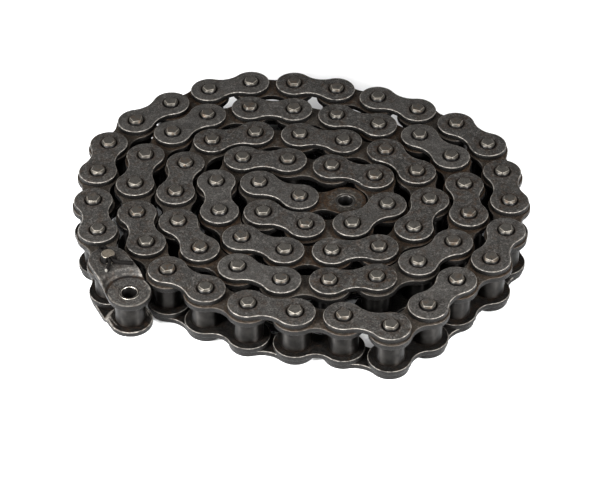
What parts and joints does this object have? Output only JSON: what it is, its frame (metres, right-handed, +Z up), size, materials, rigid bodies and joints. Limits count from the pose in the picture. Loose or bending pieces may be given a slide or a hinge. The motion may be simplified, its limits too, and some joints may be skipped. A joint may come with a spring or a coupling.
{
  "type": "roller drive chain",
  "caption": "Used motorcycle roller drive chain rolled up in a flat spiral, with riveted outer links, rollers on bushes and an offset end link held by a cottered pin.",
  "frame": {"origin": "centre of the coil's plan box, on the plane that the lower pin ends rest on", "axes": "+Z up along the pin axes, +X along the coil's longer side, +Y to its far side"},
  "size_m": [0.1578, 0.1448, 0.0218],
  "materials": {
    "outer_plate": "dark oiled steel with worn edges",
    "inner_plate": "dark oiled steel",
    "pin": "worn hardened steel",
    "roller": "polished by use, dark",
    "link": "dark oiled steel with brown stains",
    "cotter": "dark oiled wire"
  },
  "bodies": {
    "coil_core": {"coil_links_08": "link", "coil_links_09": "link", "coil_links_10": "link", "coil_links_11": "link", "coil_links_12": "link", "coil_links_13": "link", "coil_links_14": "link", "coil_links_15": "link", "coil_links_16": "link", "coil_links_17": "link", "coil_links_18": "link", "coil_links_19": "link", "coil_links_20": "link", "coil_links_21": "link", "coil_links_22": "link", "coil_links_23": "link", "coil_links_24": "link", "coil_links_25": "link", "coil_links_26": "link", "coil_links_27": "link", "coil_links_28": "link", "coil_links_29": "link", "coil_links_30": "link", "coil_links_31": "link", "coil_links_32": "link", "coil_links_33": "link", "coil_links_34": "link", "coil_links_35": "link", "coil_links_36": "link", "coil_links_37": "link", "inner_end_link": "link"},
    "offset_link": {"offset_plate_upper": "outer_plate", "offset_plate_lower": "outer_plate", "offset_bush": "pin", "connecting_pin": "pin", "cotter_pin": "cotter"},
    "offset_roller_body": {"offset_roller": "roller"},
    "inner_link_01": {"inner_plate_01_upper": "inner_plate", "inner_plate_01_lower": "inner_plate", "bush_01_a": "pin", "bush_01_b": "pin"},
    "roller_01_a_body": {"roller_01_a": "roller"},
    "roller_01_b_body": {"roller_01_b": "roller"},
    "outer_link_01": {"outer_plate_01_upper": "outer_plate", "outer_plate_01_lower": "outer_plate", "rivet_pin_01_a": "pin", "rivet_pin_01_b": "pin"},
    "inner_link_02": {"inner_link_02": "link"},
    "outer_link_02": {"outer_link_02": "link"},
    "inner_link_03": {"inner_link_03": "link"},
    "outer_link_03": {"outer_link_03": "link"},
    "inner_link_04": {"inner_link_04": "link"},
    "outer_link_04": {"outer_link_04": "link"},
    "inner_link_05": {"inner_link_05": "link"},
    "outer_link_05": {"outer_link_05": "link"},
    "inner_link_06": {"inner_link_06": "link"},
    "outer_link_06": {"outer_link_06": "link"},
    "inner_link_07": {"inner_link_07": "link"},
    "outer_link_07": {"outer_link_07": "link"}
  },
  "joints": [
    {"name": "pin_15_pivot", "type": "hinge", "parent": "coil_core", "child": "outer_link_07", "pos_m": [0.06609, 0.02873, 0.01022], "axis": [0, 0, 1], "range_deg": [-47, 0]},
    {"name": "pin_14_pivot", "type": "hinge", "parent": "outer_link_07", "child": "inner_link_07", "pos_m": [0.05554, 0.04059, 0.01022], "axis": [0, 0, 1], "range_deg": [-37, 0]},
    {"name": "pin_13_pivot", "type": "hinge", "parent": "inner_link_07", "child": "outer_link_06", "pos_m": [0.04204, 0.04894, 0.01022], "axis": [0, 0, 1], "range_deg": [-25, 0]},
    {"name": "pin_12_pivot", "type": "hinge", "parent": "outer_link_06", "child": "inner_link_06", "pos_m": [0.02788, 0.05613, 0.01022], "axis": [0, 0, 1], "range_deg": [-28, 0]},
    {"name": "pin_11_pivot", "type": "hinge", "parent": "inner_link_06", "child": "outer_link_05", "pos_m": [0.0129, 0.06137, 0.01022], "axis": [0, 0, 1], "range_deg": [-27, 0]},
    {"name": "pin_10_pivot", "type": "hinge", "parent": "outer_link_05", "child": "inner_link_05", "pos_m": [-0.00261, 0.0648, 0.01022], "axis": [0, 0, 1], "range_deg": [-30, 0]},
    {"name": "pin_09_pivot", "type": "hinge", "parent": "inner_link_05", "child": "outer_link_04", "pos_m": [-0.01847, 0.06539, 0.01022], "axis": [0, 0, 1], "range_deg": [-38, 0]},
    {"name": "pin_08_pivot", "type": "hinge", "parent": "outer_link_04", "child": "inner_link_04", "pos_m": [-0.03371, 0.06095, 0.01022], "axis": [0, 0, 1], "range_deg": [-35, 0]},
    {"name": "pin_07_pivot", "type": "hinge", "parent": "inner_link_04", "child": "outer_link_03", "pos_m": [-0.04733, 0.0528, 0.01022], "axis": [0, 0, 1], "range_deg": [-30, 0]},
    {"name": "pin_06_pivot", "type": "hinge", "parent": "outer_link_03", "child": "inner_link_03", "pos_m": [-0.05934, 0.04241, 0.01022], "axis": [0, 0, 1], "range_deg": [-35, 0]},
    {"name": "pin_05_pivot", "type": "hinge", "parent": "inner_link_03", "child": "outer_link_02", "pos_m": [-0.06831, 0.02931, 0.01022], "axis": [0, 0, 1], "range_deg": [-44, 0]},
    {"name": "pin_04_pivot", "type": "hinge", "parent": "outer_link_02", "child": "inner_link_02", "pos_m": [-0.07111, 0.01368, 0.01022], "axis": [0, 0, 1], "range_deg": [-28, 0]},
    {"name": "pin_03_pivot", "type": "hinge", "parent": "inner_link_02", "child": "outer_link_01", "pos_m": [-0.07162, -0.00218, 0.01022], "axis": [0, 0, 1], "range_deg": [-31, 0]},
    {"name": "pin_02_pivot", "type": "hinge", "parent": "outer_link_01", "child": "inner_link_01", "pos_m": [-0.069, -0.01784, 0.01022], "axis": [0, 0, 1], "range_deg": [-27, 0]},
    {"name": "pin_01_pivot", "type": "hinge", "parent": "inner_link_01", "child": "offset_link", "pos_m": [-0.06436, -0.03303, 0.01022], "axis": [0, 0, 1], "range_deg": [-32, 0]},
    {"name": "offset_roller_spin", "type": "hinge", "parent": "offset_link", "child": "offset_roller_body", "pos_m": [-0.0567, -0.04693, 0.01022], "axis": [0, 0, 1], "continuous": true},
    {"name": "roller_01_a_spin", "type": "hinge", "parent": "inner_link_01", "child": "roller_01_a_body", "pos_m": [-0.06436, -0.03303, 0.01022], "axis": [0, 0, 1], "continuous": true},
    {"name": "roller_01_b_spin", "type": "hinge", "parent": "inner_link_01", "child": "roller_01_b_body", "pos_m": [-0.069, -0.01784, 0.01022], "axis": [0, 0, 1], "continuous": true}
  ]
}
